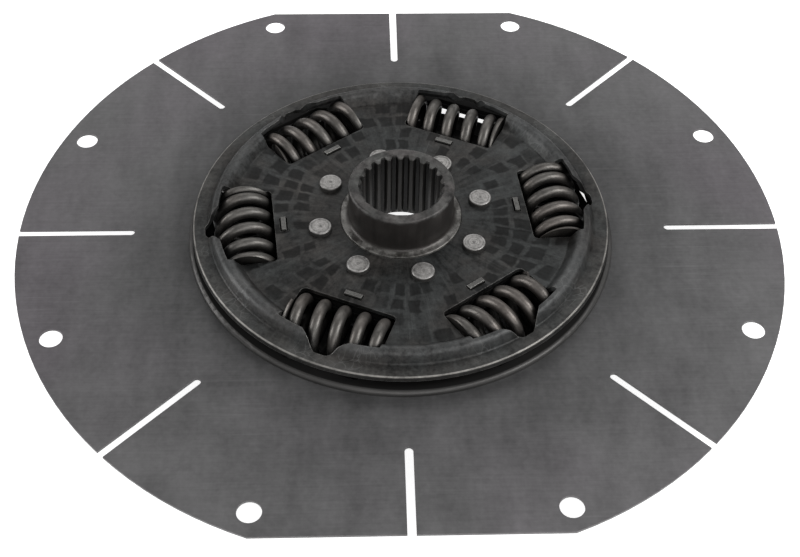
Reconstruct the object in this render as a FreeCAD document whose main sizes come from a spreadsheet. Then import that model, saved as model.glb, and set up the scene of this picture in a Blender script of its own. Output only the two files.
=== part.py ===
import FreeCAD, Part
import math
import os
import Sketcher
from FreeCAD import Placement, Rotation, Vector

# Clutch disc with a torsion damper, millimetres, +Z along the hub axis.
# Origin: centre of the flywheel bolt circle, on the hub-side face of the thin flex plate.
# +X runs along one of the relief slots of the flex plate.

doc = FreeCAD.newDocument("clutch_disc")

# ---------------------------------------------------------------- driving dimensions
DIMS = [
    # flex plate
    ("plate_radius", 233.35), ("plate_thick", 1.5), ("flat_half", 217.5),
    ("bolt_circle_radius", 219.075), ("bolt_hole_radius", 6.75), ("bolt_angle", 22.5),
    ("slot_inner", 163.0), ("slot_width", 4.7), ("plate_bore", 62.0),
    # drive discs either side of the flex plate
    ("disc_radius", 129.5), ("disc_thick", 3.0), ("disc_bore", 61.05), ("disc_edge_round", 2.3),
    ("disc_window_inner", 73.4), ("disc_window_outer", 114.6), ("disc_window_half", 29.75),
    ("disc_window_far", 120.9), ("disc_window_far_half", 22.0),
    ("disc_window_round", 1.5), ("plate_window_gap", 0.8),
    ("disc_rivet_circle", 111.5), ("disc_rivet_shank", 4.0), ("disc_rivet_hole", 4.05),
    ("disc_rivet_head", 5.6), ("disc_rivet_head_high", 2.0), ("disc_rivet_offset", 6.5),
    # side plates: pressed discs with a rolled bead and a conical rim
    ("mid_plane", -0.75), ("side_top", 13.1), ("side_thick", 2.8), ("side_bore", 37.2),
    ("foot_radius", 103.2), ("bead_in", 108.2), ("bead_out", 113.8), ("bead_top", 19.4),
    ("flange_in", 116.9), ("flange_high", 12.7),
    ("rim_radius", 125.7), ("rim_top", 12.7), ("bead_round", 4.0), ("foot_round", 1.5),
    ("rim_round", 0.5), ("rim_lap", 0.9),
    ("window_angle", 6.0), ("window_count", 6), ("window_inner", 77.0), ("window_half_in", 29.6),
    ("window_half_out", 31.2), ("window_arc", 110.8), ("window_notch", 118.7),
    ("notch_half", 3.5), ("notch_start", 14.6), ("window_round", 3.0), ("window_round_out", 0.45),
    ("notch_round", 3.0), ("notch_round_in", 0.3),
    # spring pockets pressed into the lower side plate
    ("pocket_in", 20.0), ("pocket_out", 22.4), ("pocket_half", 32.15), ("pocket_low", 14.0),
    ("pocket_spread", 112.8), ("pocket_end_round", 4.0), ("lower_rim_extra", 1.0),
    ("low_bead_in", 107.6), ("low_bead_out", 114.6), ("low_bead_top", 18.25),
    ("low_rim_radius", 125.2), ("low_rim_top", 12.5), ("low_bead_round", 5.0),
    ("low_foot_round", 2.4), ("low_rim_round", 0.6),
    ("tab_circle", 71.5), ("tab_slot_wide", 4.5), ("tab_slot_long", 11.4),
    # hub
    ("hub_top", 38.4), ("hub_bottom", -11.8), ("hub_radius", 31.7), ("collar_radius", 36.9),
    ("collar_top", 14.0), ("hub_fillet", 3.0), ("flange_radius", 58.0),
    ("spline_minor", 23.75), ("spline_major", 25.95), ("spline_pitch_radius", 24.75),
    ("spline_half", 1.767), ("spline_count", 22), ("spline_flank", 30.0),
    ("lead_in_top", 2.1), ("lead_in_bottom", 3.3), ("hub_top_round", 1.6), ("collar_round", 0.7),
    # hub rivets
    ("rivet_count", 8), ("rivet_circle", 50.3), ("rivet_angle", 13.5), ("rivet_shank", 5.0),
    ("rivet_hole", 5.05), ("rivet_head", 7.05), ("rivet_head_high", 2.8), ("rivet_head_round", 1.0),
    # coil springs
    ("spring_circle", 94.65), ("spring_height", 0.0), ("coil_radius", 15.9),
    ("wire_radius", 3.5), ("spring_long", 59.0), ("tip_high", 31.3), ("end_chamfer", 1.35),
    # friction pack
    ("pack_in", 62.4), ("pack_out", 69.0), ("run_gap", 0.05), ("friction_thick", 2.0),
    ("ring_thick", 2.8), ("tab_out", 72.9), ("tab_top", 14.3), ("tab_half", 5.3),
    ("tab_bend", 3.0), ("cone_thick", 1.2),
    # guide bush
    ("bush_in", 58.1), ("bush_out", 61.0), ("bush_top", 2.8), ("bush_bottom", -4.3),
]
sheet = doc.addObject("Spreadsheet::Sheet", "Dims")
sheet.Label = "Dims"
for row, (alias, value) in enumerate(DIMS, start=1):
    sheet.set("A%d" % row, alias)
    sheet.set("B%d" % row, str(value))
    sheet.setAlias("B%d" % row, alias)
doc.recompute()
V = dict(DIMS)
D = "Dims."

EXPORT = []          # (object, node name)
PARTS = {}


def origin_feature(body, role):
    return [f for f in body.Origin.OriginFeatures if f.Role == role][0]


def new_body(name):
    body = doc.addObject("PartDesign::Body", name)
    body.Label = name
    return body


def new_sketch(body, role, name, offset=None, angle=None):
    sk = body.newObject("Sketcher::SketchObject", name)
    sk.AttachmentSupport = [(origin_feature(body, role), "")]
    sk.MapMode = "FlatFace"
    if angle is not None:
        sk.AttachmentOffset = Placement(Vector(0, 0, 0), Rotation(Vector(0, 0, 1), V[angle]))
        sk.setExpression("AttachmentOffset.Rotation.Angle", D + angle)
    if offset is not None:
        sk.setExpression("AttachmentOffset.Base.z", offset)
    return sk


def evaluate(expr):
    env = {k: v for k, v in V.items()}
    text = expr.replace(D, "")
    for fn in ("tan", "cos", "sin"):
        text = text.replace(fn + "(", "_" + fn + "(")
    return sheet_value(text, env)


def sheet_value(text, env):
    # small arithmetic reader for the same expressions that the sketches are bound to
    tokens, i = [], 0
    while i < len(text):
        c = text[i]
        if c.isspace():
            i += 1
        elif c in "+-*/()":
            tokens.append(c)
            i += 1
        else:
            j = i
            while j < len(text) and (text[j].isalnum() or text[j] in "._"):
                j += 1
            tokens.append(text[i:j])
            i = j

    def factor():
        t = tokens.pop(0)
        if t == "-":
            return -factor()
        if t == "+":
            return factor()
        if t == "(":
            v = expression()
            tokens.pop(0)
            return v
        if t in ("_tan", "_cos", "_sin"):
            tokens.pop(0)
            v = expression()
            tokens.pop(0)
            return {"_tan": math.tan, "_cos": math.cos, "_sin": math.sin}[t](math.radians(v))
        if t[0].isdigit() or t[0] == ".":
            return float(t)
        return float(env[t])

    def term():
        v = factor()
        while tokens and tokens[0] in "*/":
            op = tokens.pop(0)
            w = factor()
            v = v * w if op == "*" else v / w
        return v

    def expression():
        v = term()
        while tokens and tokens[0] in "+-":
            op = tokens.pop(0)
            w = term()
            v = v + w if op == "+" else v - w
        return v

    return expression()


def bind(sk, constraint, expr, name):
    index = sk.addConstraint(constraint)
    sk.renameConstraint(index, name)
    sk.setExpression("Constraints." + name, expr)
    return index


def polygon(sk, corners, tag):
    """Closed outline of straight lines; every corner is fixed by two bound distances."""
    pts = [(evaluate(x), evaluate(y)) for x, y in corners]
    first = sk.GeometryCount
    n = len(pts)
    for i in range(n):
        a, b = pts[i], pts[(i + 1) % n]
        sk.addGeometry(Part.LineSegment(Vector(a[0], a[1], 0), Vector(b[0], b[1], 0)), False)
    for i in range(n):
        sk.addConstraint(Sketcher.Constraint("Coincident", first + i, 2, first + (i + 1) % n, 1))
    for i, (x, y) in enumerate(corners):
        px, py = pts[i]
        if abs(px) < 1e-9:
            sk.addConstraint(Sketcher.Constraint("PointOnObject", first + i, 1, -2))
        else:
            bind(sk, Sketcher.Constraint("DistanceX", -1, 1, first + i, 1, px), x, "%sx%d" % (tag, i))
        if abs(py) < 1e-9:
            sk.addConstraint(Sketcher.Constraint("PointOnObject", first + i, 1, -1))
        else:
            bind(sk, Sketcher.Constraint("DistanceY", -1, 1, first + i, 1, py), y, "%sy%d" % (tag, i))


def circle(sk, cx, cy, radius, tag):
    x, y, r = evaluate(cx), evaluate(cy), evaluate(radius)
    g = sk.addGeometry(Part.Circle(Vector(x, y, 0), Vector(0, 0, 1), r), False)
    if abs(x) < 1e-9 and abs(y) < 1e-9:
        sk.addConstraint(Sketcher.Constraint("Coincident", g, 3, -1, 1))
    else:
        bind(sk, Sketcher.Constraint("DistanceX", -1, 1, g, 3, x), cx, tag + "cx")
        if abs(y) < 1e-9:
            sk.addConstraint(Sketcher.Constraint("PointOnObject", g, 3, -1))
        else:
            bind(sk, Sketcher.Constraint("DistanceY", -1, 1, g, 3, y), cy, tag + "cy")
    bind(sk, Sketcher.Constraint("Radius", g, r), radius, tag + "r")


def revolve(body, corners, name):
    """Full turn about Z of a closed (radius, height) outline."""
    sk = new_sketch(body, "XZ_Plane", name + "_profile")
    polygon(sk, corners, "p")
    rev = body.newObject("PartDesign::Revolution", name)
    rev.Profile = sk
    rev.ReferenceAxis = (sk, ["V_Axis"])
    rev.Angle = 360.0
    body.Tip = rev
    doc.recompute()
    return rev


def pad(body, sk, length, name, midplane=False):
    f = body.newObject("PartDesign::Pad", name)
    f.Profile = sk
    f.setExpression("Length", length)
    if midplane:
        f.SideType = "Symmetric"
    body.Tip = f
    doc.recompute()
    return f


def pocket(body, sk, length, name):
    """Cut downward from the sketch; fails loudly if nothing is removed."""
    before = body.Tip.Shape.Volume
    f = body.newObject("PartDesign::Pocket", name)
    f.Profile = sk
    f.setExpression("Length", length)
    body.Tip = f
    doc.recompute()
    if not f.Shape.Volume < before - 1.0:
        raise RuntimeError("pocket %s cut nothing" % name)
    return f


def polar(body, features, count, name, bound=None):
    before = body.Tip.Shape.Volume
    f = body.newObject("PartDesign::PolarPattern", name)
    f.Originals = features
    f.Axis = (origin_feature(body, "Z_Axis"), [""])
    f.Angle = 360.0
    f.Occurrences = int(count)
    if bound:
        f.setExpression("Occurrences", bound)
    body.Tip = f
    doc.recompute()
    if abs(f.Shape.Volume - before) < 1.0:
        raise RuntimeError("pattern %s changed nothing" % name)
    return f


def edges_where(shape, test):
    return ["Edge%d" % (i + 1) for i, e in enumerate(shape.Edges) if test(e)]


def fillet(body, test, radius, name):
    base = body.Tip
    names = edges_where(base.Shape, test)
    if not names:
        raise RuntimeError("no edge for " + name)
    f = body.newObject("PartDesign::Fillet", name)
    f.Base = (base, names)
    f.setExpression("Radius", radius)
    body.Tip = f
    doc.recompute()
    if f.Shape.isNull() or not f.Shape.Solids:
        raise RuntimeError(name + " left no solid")
    return f


def ring_edge(radius, height, tol=0.02):
    """True for full circles about Z at this radius and height."""
    def test(e):
        c = e.Curve
        return (isinstance(c, Part.Circle) and abs(c.Radius - radius) < tol
                and abs(c.Center.z - height) < tol and abs(c.Center.x) < tol and abs(c.Center.y) < tol)
    return test


def upright_edge(points, count, angle0, tol=0.15):
    """True for edges parallel to Z that stand at one of the points, repeated round the axis."""
    spots = []
    for k in range(count):
        a = math.radians(angle0 + 360.0 * k / count)
        for (u, w) in points:
            spots.append((u * math.cos(a) - w * math.sin(a), u * math.sin(a) + w * math.cos(a)))

    def test(e):
        if not isinstance(e.Curve, Part.Line):
            return False
        d = e.Curve.Direction
        if abs(abs(d.z) - 1.0) > 1e-6:
            return False
        p = e.Vertexes[0].Point
        return any(math.hypot(p.x - x, p.y - y) < tol for x, y in spots)
    return test


def finish(body, node=None):
    PARTS[body.Label] = body
    EXPORT.append((body, node or body.Label))


# ---------------------------------------------------------------- flex plate
def window_corners(gap="0"):
    g = " - " + gap if gap != "0" else ""
    h = " + " + gap if gap != "0" else ""
    return [(D + "disc_window_inner" + g, "-" + D + "disc_window_half" + g),
            (D + "disc_window_outer" + h, "-" + D + "disc_window_half" + g),
            (D + "disc_window_far" + h, "-" + D + "disc_window_far_half" + g),
            (D + "disc_window_far" + h, D + "disc_window_far_half" + h),
            (D + "disc_window_outer" + h, D + "disc_window_half" + h),
            (D + "disc_window_inner" + g, D + "disc_window_half" + h)]


def window_spots(gap=0.0):
    inner, half = V["disc_window_inner"] - gap, V["disc_window_half"] + gap
    outer, far, far_half = V["disc_window_outer"] + gap, V["disc_window_far"] + gap, V["disc_window_far_half"] + gap
    return [(x, s * y) for x, y in ((inner, half), (outer, half), (far, far_half)) for s in (-1, 1)]


def rivet_spot(sign):
    a = "(30 %s %sdisc_rivet_offset)" % (sign, D)
    return (D + "disc_rivet_circle * cos" + a, D + "disc_rivet_circle * sin" + a)


plate = new_body("flex_plate")
sk = new_sketch(plate, "XY_Plane", "plate_outline", offset="-" + D + "plate_thick")
R, F = V["plate_radius"], V["flat_half"]
cx = math.sqrt(R * R - F * F)
right = Part.ArcOfCircle(Part.Circle(Vector(0, 0, 0), Vector(0, 0, 1), R),
                         -math.atan2(F, cx), math.atan2(F, cx))
left = Part.ArcOfCircle(Part.Circle(Vector(0, 0, 0), Vector(0, 0, 1), R),
                        math.pi - math.atan2(F, cx), math.pi + math.atan2(F, cx))
g0 = sk.addGeometry(right, False)
g1 = sk.addGeometry(Part.LineSegment(Vector(cx, F, 0), Vector(-cx, F, 0)), False)
g2 = sk.addGeometry(left, False)
g3 = sk.addGeometry(Part.LineSegment(Vector(-cx, -F, 0), Vector(cx, -F, 0)), False)
sk.addConstraint(Sketcher.Constraint("Coincident", g0, 2, g1, 1))
sk.addConstraint(Sketcher.Constraint("Coincident", g1, 2, g2, 1))
sk.addConstraint(Sketcher.Constraint("Coincident", g2, 2, g3, 1))
sk.addConstraint(Sketcher.Constraint("Coincident", g3, 2, g0, 1))
sk.addConstraint(Sketcher.Constraint("Coincident", g0, 3, -1, 1))
sk.addConstraint(Sketcher.Constraint("Coincident", g2, 3, -1, 1))
bind(sk, Sketcher.Constraint("Radius", g0, R), D + "plate_radius", "outer")
sk.addConstraint(Sketcher.Constraint("Equal", g0, g2))
sk.addConstraint(Sketcher.Constraint("Horizontal", g1))
sk.addConstraint(Sketcher.Constraint("Horizontal", g3))
bind(sk, Sketcher.Constraint("DistanceY", -1, 1, g1, 1, F), D + "flat_half", "flat_top")
bind(sk, Sketcher.Constraint("DistanceY", g3, 1, -1, 1, F), D + "flat_half", "flat_bottom")
circle(sk, "0", "0", D + "plate_bore", "bore")
pad(plate, sk, D + "plate_thick", "plate_sheet")

sk = new_sketch(plate, "XY_Plane", "relief_slot", offset="5")
xi, xo, hw = V["slot_inner"] + V["slot_width"] / 2, 240.0, V["slot_width"] / 2
arc = Part.ArcOfCircle(Part.Circle(Vector(xi, 0, 0), Vector(0, 0, 1), hw), math.pi / 2, 3 * math.pi / 2)
a = sk.addGeometry(arc, False)
b = sk.addGeometry(Part.LineSegment(Vector(xi, -hw, 0), Vector(xo, -hw, 0)), False)
c = sk.addGeometry(Part.LineSegment(Vector(xo, -hw, 0), Vector(xo, hw, 0)), False)
d = sk.addGeometry(Part.LineSegment(Vector(xo, hw, 0), Vector(xi, hw, 0)), False)
sk.addConstraint(Sketcher.Constraint("Tangent", a, 2, b, 1))
sk.addConstraint(Sketcher.Constraint("Coincident", b, 2, c, 1))
sk.addConstraint(Sketcher.Constraint("Coincident", c, 2, d, 1))
sk.addConstraint(Sketcher.Constraint("Tangent", d, 2, a, 1))
sk.addConstraint(Sketcher.Constraint("Horizontal", b))
sk.addConstraint(Sketcher.Constraint("Horizontal", d))
sk.addConstraint(Sketcher.Constraint("Vertical", c))
sk.addConstraint(Sketcher.Constraint("PointOnObject", a, 3, -1))
bind(sk, Sketcher.Constraint("DistanceX", -1, 1, a, 3, xi), D + "slot_inner + " + D + "slot_width / 2", "slot_end")
bind(sk, Sketcher.Constraint("Radius", a, hw), D + "slot_width / 2", "slot_half")
bind(sk, Sketcher.Constraint("DistanceX", -1, 1, c, 1, xo), D + "plate_radius + 6.65", "slot_out")
slot = pocket(plate, sk, "10", "slot_cut")
polar(plate, [slot], 8, "slot_ring")

sk = new_sketch(plate, "XY_Plane", "bolt_hole", offset="5", angle="bolt_angle")
circle(sk, D + "bolt_circle_radius", "0", D + "bolt_hole_radius", "bolt")
hole = pocket(plate, sk, "10", "bolt_cut")
polar(plate, [hole], 8, "bolt_ring")

sk = new_sketch(plate, "XY_Plane", "plate_window", offset="5", angle="window_angle")
polygon(sk, window_corners(D + "plate_window_gap"), "w")
for s in "+-":
    x, y = rivet_spot(s)
    circle(sk, x, y, D + "disc_rivet_hole", "rv" + ("a" if s == "+" else "b"))
win = pocket(plate, sk, "10", "plate_window_cut")
polar(plate, [win], 6, "plate_window_ring", D + "window_count")
fillet(plate, upright_edge(window_spots(V["plate_window_gap"]), 6, V["window_angle"]),
       D + "disc_window_round", "plate_window_corner")
finish(plate)


# ---------------------------------------------------------------- drive discs
def drive_disc(name, upper):
    body = new_body(name)
    lo, hi = ("0", D + "disc_thick") if upper else ("-" + D + "plate_thick - " + D + "disc_thick", "-" + D + "plate_thick")
    revolve(body, [(D + "disc_bore", lo), (D + "disc_radius", lo), (D + "disc_radius", hi),
                   (D + "disc_bore", hi)], name + "_blank")
    sk = new_sketch(body, "XY_Plane", name + "_window", offset="8", angle="window_angle")
    polygon(sk, window_corners(), "w")
    for s in "+-":
        x, y = rivet_spot(s)
        circle(sk, x, y, D + "disc_rivet_hole", "rv" + ("a" if s == "+" else "b"))
    cut = pocket(body, sk, "20", name + "_window_cut")
    polar(body, [cut], 6, name + "_window_ring", D + "window_count")
    fillet(body, upright_edge(window_spots(), 6, V["window_angle"]), D + "disc_window_round", name + "_corner")
    # rolled outer edge on the side away from the flex plate
    z = V["disc_thick"] if upper else -V["plate_thick"] - V["disc_thick"]
    fillet(body, ring_edge(V["disc_radius"], z), D + "disc_edge_round", name + "_edge")
    finish(body)
    return body


drive_disc("drive_disc_upper", True)
drive_disc("drive_disc_lower", False)


# ---------------------------------------------------------------- side plates
# Two pressings. The upper one has open spring windows with a pointed notch and a level flange
# outside its bead; the lower one has a closed pocket for each spring, a lower and rounder bead
# and a conical rim. The lower one is drawn the same way up and turned over about the diameter
# at 36 degrees, which carries springs onto springs and rivet holes onto rivet holes.
SLOPE_IN = math.degrees(math.atan2(V["bead_top"] - V["side_top"], V["bead_in"] - V["foot_radius"]))
SLOPE_OUT = math.degrees(math.atan2(V["bead_top"] - V["flange_high"], V["flange_in"] - V["bead_out"]))
LOW_IN = math.degrees(math.atan2(V["low_bead_top"] - V["side_top"], V["low_bead_in"] - V["foot_radius"]))
LOW_OUT = math.degrees(math.atan2(V["low_bead_top"] - V["low_rim_top"], V["low_rim_radius"] - V["low_bead_out"]))
SLOPE_RIM = math.degrees(math.atan2(V["flange_high"] - V["rim_top"], V["rim_radius"] - V["flange_in"]))
slope_in = "atan((%sbead_top - %sside_top) / (%sbead_in - %sfoot_radius))" % (D, D, D, D)
sheet.set("A%d" % (len(DIMS) + 1), "slope_in_half")
sheet.set("B%d" % (len(DIMS) + 1), "%.6f" % (SLOPE_IN / 2))
sheet.setAlias("B%d" % (len(DIMS) + 1), "slope_in_half")
sheet.set("A%d" % (len(DIMS) + 2), "slope_out_half")
sheet.set("B%d" % (len(DIMS) + 2), "%.6f" % (SLOPE_OUT / 2))
sheet.setAlias("B%d" % (len(DIMS) + 2), "slope_out_half")
sheet.set("A%d" % (len(DIMS) + 3), "slope_rim")
sheet.set("B%d" % (len(DIMS) + 3), "%.6f" % SLOPE_RIM)
sheet.setAlias("B%d" % (len(DIMS) + 3), "slope_rim")
V["slope_in_half"], V["slope_out_half"], V["slope_rim"] = SLOPE_IN / 2, SLOPE_OUT / 2, SLOPE_RIM
for count, (alias, value) in enumerate((("low_in_half", LOW_IN / 2), ("low_out_half", LOW_OUT / 2))):
    row = len(DIMS) + 4 + count
    sheet.set("A%d" % row, alias)
    sheet.set("B%d" % row, "%.6f" % value)
    sheet.setAlias("B%d" % row, alias)
    V[alias] = value
doc.recompute()


def rounded_bar(sk, low, high, half, corner, tag):
    """Outline low..high across the spring axis and -half..half along it, outer corners rounded."""
    lo, hi, h, c = evaluate(low), evaluate(high), evaluate(half), evaluate(corner)
    a = sk.addGeometry(Part.LineSegment(Vector(-h, lo, 0), Vector(h, lo, 0)), False)
    b = sk.addGeometry(Part.LineSegment(Vector(h, lo, 0), Vector(h, hi - c, 0)), False)
    k = sk.addGeometry(Part.ArcOfCircle(Part.Circle(Vector(h - c, hi - c, 0), Vector(0, 0, 1), c),
                                        0, math.pi / 2), False)
    d = sk.addGeometry(Part.LineSegment(Vector(h - c, hi, 0), Vector(c - h, hi, 0)), False)
    m = sk.addGeometry(Part.ArcOfCircle(Part.Circle(Vector(c - h, hi - c, 0), Vector(0, 0, 1), c),
                                        math.pi / 2, math.pi), False)
    n = sk.addGeometry(Part.LineSegment(Vector(-h, hi - c, 0), Vector(-h, lo, 0)), False)
    sk.addConstraint(Sketcher.Constraint("Coincident", a, 2, b, 1))
    sk.addConstraint(Sketcher.Constraint("Tangent", b, 2, k, 1))
    sk.addConstraint(Sketcher.Constraint("Tangent", k, 2, d, 1))
    sk.addConstraint(Sketcher.Constraint("Tangent", d, 2, m, 1))
    sk.addConstraint(Sketcher.Constraint("Tangent", m, 2, n, 1))
    sk.addConstraint(Sketcher.Constraint("Coincident", n, 2, a, 1))
    sk.addConstraint(Sketcher.Constraint("Horizontal", a))
    sk.addConstraint(Sketcher.Constraint("Vertical", b))
    sk.addConstraint(Sketcher.Constraint("Vertical", n))
    sk.addConstraint(Sketcher.Constraint("Horizontal", d))
    bind(sk, Sketcher.Constraint("Radius", k, c), corner, tag + "corner_a")
    bind(sk, Sketcher.Constraint("Radius", m, c), corner, tag + "corner_b")
    bind(sk, Sketcher.Constraint("DistanceY", -1, 1, a, 1, lo), low, tag + "low")
    bind(sk, Sketcher.Constraint("DistanceY", -1, 1, d, 1, hi), high, tag + "high")
    bind(sk, Sketcher.Constraint("DistanceX", -1, 1, b, 1, h), half, tag + "right")
    bind(sk, Sketcher.Constraint("DistanceX", n, 2, -1, 1, h), half, tag + "left")


def spring_axis_sketch(body, name):
    """Upright sketch along one spring: its x is the spring's axis, its y points away from the discs."""
    a, r = math.radians(V["window_angle"]), V["spring_circle"]
    sk = body.newObject("Sketcher::SketchObject", name)
    sk.AttachmentSupport = [(origin_feature(body, "YZ_Plane"), "")]
    sk.MapMode = "FlatFace"
    low = 2 * V["mid_plane"] - V["spring_height"]
    sk.AttachmentOffset = Placement(Vector(r * math.sin(a), low, r * math.cos(a)),
                                    Rotation(Vector(0, 1, 0), V["window_angle"]))
    sk.setExpression("AttachmentOffset.Rotation.Angle", D + "window_angle")
    sk.setExpression("AttachmentOffset.Base.x", "%sspring_circle * sin(%swindow_angle)" % (D, D))
    sk.setExpression("AttachmentOffset.Base.y", "2 * %smid_plane - %sspring_height" % (D, D))
    sk.setExpression("AttachmentOffset.Base.z", "%sspring_circle * cos(%swindow_angle)" % (D, D))
    return sk


def turned_about_spring(body, kind, sk, angle, name):
    before = body.Tip.Shape.Volume
    f = body.newObject("PartDesign::" + kind, name)
    f.Profile = sk
    f.ReferenceAxis = (sk, ["H_Axis"])
    f.Midplane = True
    f.setExpression("Angle", angle)
    body.Tip = f
    doc.recompute()
    if abs(f.Shape.Volume - before) < 1.0:
        raise RuntimeError(name + " changed nothing")
    return f


def spring_pockets(body, name):
    """A half-round pocket over each spring, closed at both ends, open towards the drive discs."""
    sk = spring_axis_sketch(body, name + "_shell")
    rounded_bar(sk, D + "pocket_low", D + "pocket_out", D + "pocket_half", D + "pocket_end_round", "o")
    shell = turned_about_spring(body, "Revolution", sk, D + "pocket_spread", name + "_bulge")
    polar(body, [shell], 6, name + "_bulge_ring", D + "window_count")
    sk = spring_axis_sketch(body, name + "_room")
    rounded_bar(sk, "5", D + "pocket_in", D + "disc_window_half", "1.2", "i")
    room = turned_about_spring(body, "Groove", sk, D + "pocket_spread + 8", name + "_hollow")
    polar(body, [room], 6, name + "_hollow_ring", D + "window_count")


def upper_pressing(body, name):
    """Foot, inner slope, crest, outer slope, level flange and the bevelled edge wall."""
    rim_r = "(%srim_radius + 0)" % D
    rim_z = "(%srim_top - 0)" % D
    t = D + "side_thick"
    shift_in = "%s * tan(%sslope_in_half)" % (t, D)
    shift_out = "%s * tan(%sslope_out_half)" % (t, D)
    so, sr = "2 * %sslope_out_half" % D, D + "slope_rim"
    turn = "(1 + cos(%s - %s))" % (so, sr)
    under_r = "%sflange_in - %s * (sin(%s) + sin(%s)) / %s" % (D, t, so, sr, turn)
    under_z = "%sflange_high - %s * (cos(%s) + cos(%s)) / %s" % (D, t, so, sr, turn)
    outline = [
        (D + "side_bore", D + "side_top"), (D + "foot_radius", D + "side_top"),
        (D + "bead_in", D + "bead_top"), (D + "bead_out", D + "bead_top"),
        (D + "flange_in", D + "flange_high"),
        ("%s - %srim_round * cos(%s)" % (rim_r, D, sr), "%s + %srim_round * sin(%s)" % (rim_z, D, sr)),
        ("%s + 0.18 * (%srim_lap * cos(%s) - %s * sin(%s))" % (rim_r, D, sr, t, sr),
         "%s - 0.18 * (%srim_lap * sin(%s) + %s * cos(%s))" % (rim_z, D, sr, t, sr)),
        ("%s - %s * sin(%s) + %srim_lap * cos(%s)" % (rim_r, t, sr, D, sr),
         "%s - %s * cos(%s) - %srim_lap * sin(%s)" % (rim_z, t, sr, D, sr)),
        (under_r, under_z),
        ("%sbead_out - %s" % (D, shift_out), "%sbead_top - %s" % (D, t)),
        ("%sbead_in + %s" % (D, shift_in), "%sbead_top - %s" % (D, t)),
        ("%sfoot_radius + %s" % (D, shift_in), "%sside_top - %s" % (D, t)),
        (D + "side_bore", "%sside_top - %s" % (D, t)),
    ]
    revolve(body, outline, name + "_pressing")
    th = V["side_thick"]
    si, so = th * math.tan(math.radians(SLOPE_IN / 2)), th * math.tan(math.radians(SLOPE_OUT / 2))
    top_ring = [ring_edge(V["bead_in"], V["bead_top"]), ring_edge(V["bead_out"], V["bead_top"]),
                ring_edge(V["foot_radius"] + si, V["side_top"] - th), ring_edge(evaluate(under_r), evaluate(under_z))]
    fillet(body, lambda e: any(f(e) for f in top_ring), D + "bead_round", name + "_bead")
    low_ring = [ring_edge(V["bead_in"] + si, V["bead_top"] - th), ring_edge(V["bead_out"] - so, V["bead_top"] - th),
                ring_edge(V["foot_radius"], V["side_top"]), ring_edge(V["flange_in"], V["flange_high"])]
    fillet(body, lambda e: any(f(e) for f in low_ring), D + "foot_round", name + "_foot")


def lower_pressing(body, name):
    """Foot, inner slope, crest and one conical slope out to the rim."""
    rim_r = "(%slow_rim_radius + %slower_rim_extra * cos(2 * %slow_out_half))" % (D, D, D)
    rim_z = "(%slow_rim_top - %slower_rim_extra * sin(2 * %slow_out_half))" % (D, D, D)
    t = D + "side_thick"
    shift_in = "%s * tan(%slow_in_half)" % (t, D)
    shift_out = "%s * tan(%slow_out_half)" % (t, D)
    outline = [
        (D + "side_bore", D + "side_top"), (D + "foot_radius", D + "side_top"),
        (D + "low_bead_in", D + "low_bead_top"), (D + "low_bead_out", D + "low_bead_top"),
        (rim_r, rim_z),
        ("%s - %s * sin(2 * %slow_out_half)" % (rim_r, t, D),
         "%s - %s * cos(2 * %slow_out_half)" % (rim_z, t, D)),
        ("%slow_bead_out - %s" % (D, shift_out), "%slow_bead_top - %s" % (D, t)),
        ("%slow_bead_in + %s" % (D, shift_in), "%slow_bead_top - %s" % (D, t)),
        ("%sfoot_radius + %s" % (D, shift_in), "%sside_top - %s" % (D, t)),
        (D + "side_bore", "%sside_top - %s" % (D, t)),
    ]
    revolve(body, outline, name + "_pressing")
    th = V["side_thick"]
    si, so = th * math.tan(math.radians(LOW_IN / 2)), th * math.tan(math.radians(LOW_OUT / 2))
    top_ring = [ring_edge(V["low_bead_in"], V["low_bead_top"]), ring_edge(V["low_bead_out"], V["low_bead_top"]),
                ring_edge(V["foot_radius"] + si, V["side_top"] - th)]
    fillet(body, lambda e: any(f(e) for f in top_ring), D + "low_bead_round", name + "_bead")
    low_ring = [ring_edge(V["low_bead_in"] + si, V["low_bead_top"] - th),
                ring_edge(V["low_bead_out"] - so, V["low_bead_top"] - th),
                ring_edge(V["foot_radius"], V["side_top"])]
    fillet(body, lambda e: any(f(e) for f in low_ring), D + "low_foot_round", name + "_foot")
    fillet(body, ring_edge(evaluate(rim_r), evaluate(rim_z)), D + "low_rim_round", name + "_rim")


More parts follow.
